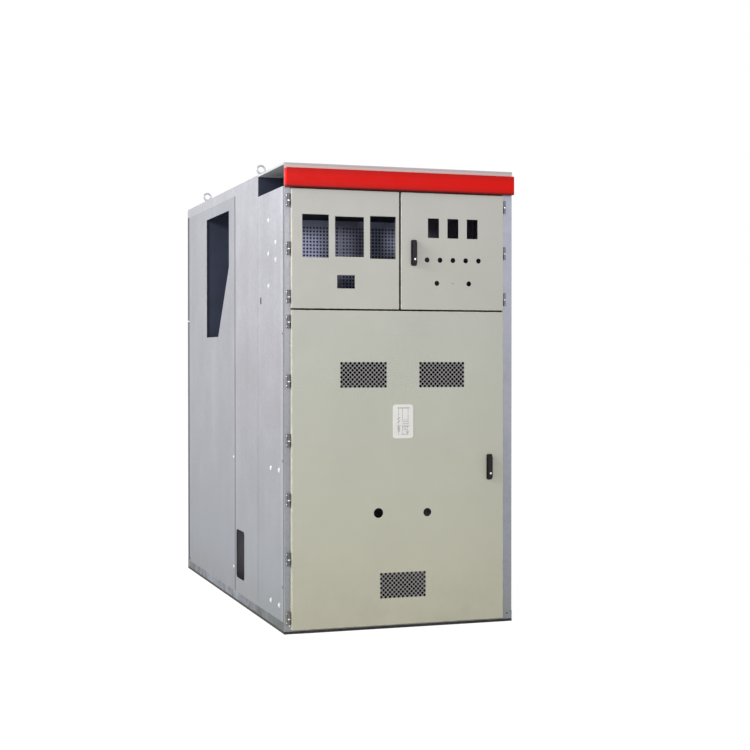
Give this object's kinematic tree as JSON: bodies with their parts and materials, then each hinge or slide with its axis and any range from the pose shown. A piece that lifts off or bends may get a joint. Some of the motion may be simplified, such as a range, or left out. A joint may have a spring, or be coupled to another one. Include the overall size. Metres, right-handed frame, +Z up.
{
  "type": "metal-enclosed switchgear cubicle",
  "caption": "Tall metal-enclosed switchgear cubicle with instrument doors over a grilled main door, swing handles, a red lintel and open busbar side cut-outs.",
  "frame": {"origin": "centre of the overall footprint, on the floor under the cubicle", "axes": "+X to the right seen from the front, +Y from the doors to the rear covers, +Z up"},
  "size_m": [1.412, 2.858, 2.747],
  "materials": {
    "cream_paint": "satin powder coat, pale warm grey",
    "zinc_sheet": "aluminium-zinc coated sheet, fine spangle",
    "dull_zinc": "hot-dip galvanised, dull grey",
    "chamber_paint": "satin powder coat, dark slate grey",
    "perforated_zinc": "galvanised perforated sheet",
    "black_base": "matte black",
    "red_paint": "satin powder coat, signal red",
    "bright_steel": "bright zinc plated",
    "black_handle": "black powder-coated die casting",
    "white_plate": "satin white laminate"
  },
  "bodies": {
    "cabinet": {"duct_front_plate": "cream_paint", "front_roof": "cream_paint", "rear_covers": "cream_paint", "floor_plates": "zinc_sheet", "front_posts": "zinc_sheet", "front_rails": "zinc_sheet", "left_front_side": "zinc_sheet", "right_front_side": "zinc_sheet", "left_rear_side": "zinc_sheet", "right_rear_side": "zinc_sheet", "instrument_floor": "zinc_sheet", "duct_floor": "zinc_sheet", "mounting_rails": "zinc_sheet", "module_walls": "zinc_sheet", "rear_roof": "zinc_sheet", "relief_flaps": "zinc_sheet", "base_cross_beams": "dull_zinc", "base_side_channels": "dull_zinc", "rear_posts": "dull_zinc", "truck_rails": "dull_zinc", "fixed_hinge_halves": "dull_zinc", "instrument_rear_wall": "chamber_paint", "busbar_front_wall": "chamber_paint", "busbar_slant_wall": "chamber_paint", "busbar_floor": "chamber_paint", "busbar_rear_wall": "chamber_paint", "mounting_plate": "perforated_zinc", "foot_strips": "black_base", "lintel": "red_paint", "panel_bolts": "bright_steel", "lifting_eyes": "bright_steel"},
    "main_door_leaf": {"main_door": "cream_paint", "main_door_stiffeners": "zinc_sheet", "main_door_hinges": "dull_zinc", "diagram_plate": "white_plate", "main_handle_base": "black_handle"},
    "main_handle_turner": {"main_handle_spindle": "bright_steel"},
    "main_handle_grip": {"main_handle_lever": "black_handle"},
    "relay_door_leaf": {"relay_door": "cream_paint", "relay_door_hinges": "dull_zinc"},
    "control_door_leaf": {"control_door": "cream_paint", "control_door_hinges": "dull_zinc", "control_handle_base": "black_handle"},
    "control_handle_turner": {"control_handle_spindle": "bright_steel"},
    "control_handle_grip": {"control_handle_lever": "black_handle"}
  },
  "joints": [
    {"name": "main_door_swing", "type": "hinge", "parent": "cabinet", "child": "main_door_leaf", "pos_m": [-0.676, -1.391, 0.9], "axis": [0, 0, -1], "range_deg": [0, 110]},
    {"name": "relay_door_swing", "type": "hinge", "parent": "cabinet", "child": "relay_door_leaf", "pos_m": [-0.676, -1.391, 2.186], "axis": [0, 0, -1], "range_deg": [0, 110]},
    {"name": "control_door_swing", "type": "hinge", "parent": "cabinet", "child": "control_door_leaf", "pos_m": [0.645, -1.391, 2.186], "axis": [0, 0, 1], "range_deg": [0, 110]},
    {"name": "main_handle_turn", "type": "hinge", "parent": "main_door_leaf", "child": "main_handle_turner", "pos_m": [0.543, -1.422, 0.98], "axis": [0, 1, 0], "range_deg": [0, 90]},
    {"name": "main_handle_lift", "type": "hinge", "parent": "main_handle_turner", "child": "main_handle_grip", "pos_m": [0.543, -1.422, 0.98], "axis": [-1, 0, 0], "range_deg": [0, 45]},
    {"name": "control_handle_turn", "type": "hinge", "parent": "control_door_leaf", "child": "control_handle_turner", "pos_m": [0.069, -1.422, 2.231], "axis": [0, -1, 0], "range_deg": [0, 90]},
    {"name": "control_handle_lift", "type": "hinge", "parent": "control_handle_turner", "child": "control_handle_grip", "pos_m": [0.069, -1.422, 2.231], "axis": [-1, 0, 0], "range_deg": [0, 45]}
  ]
}
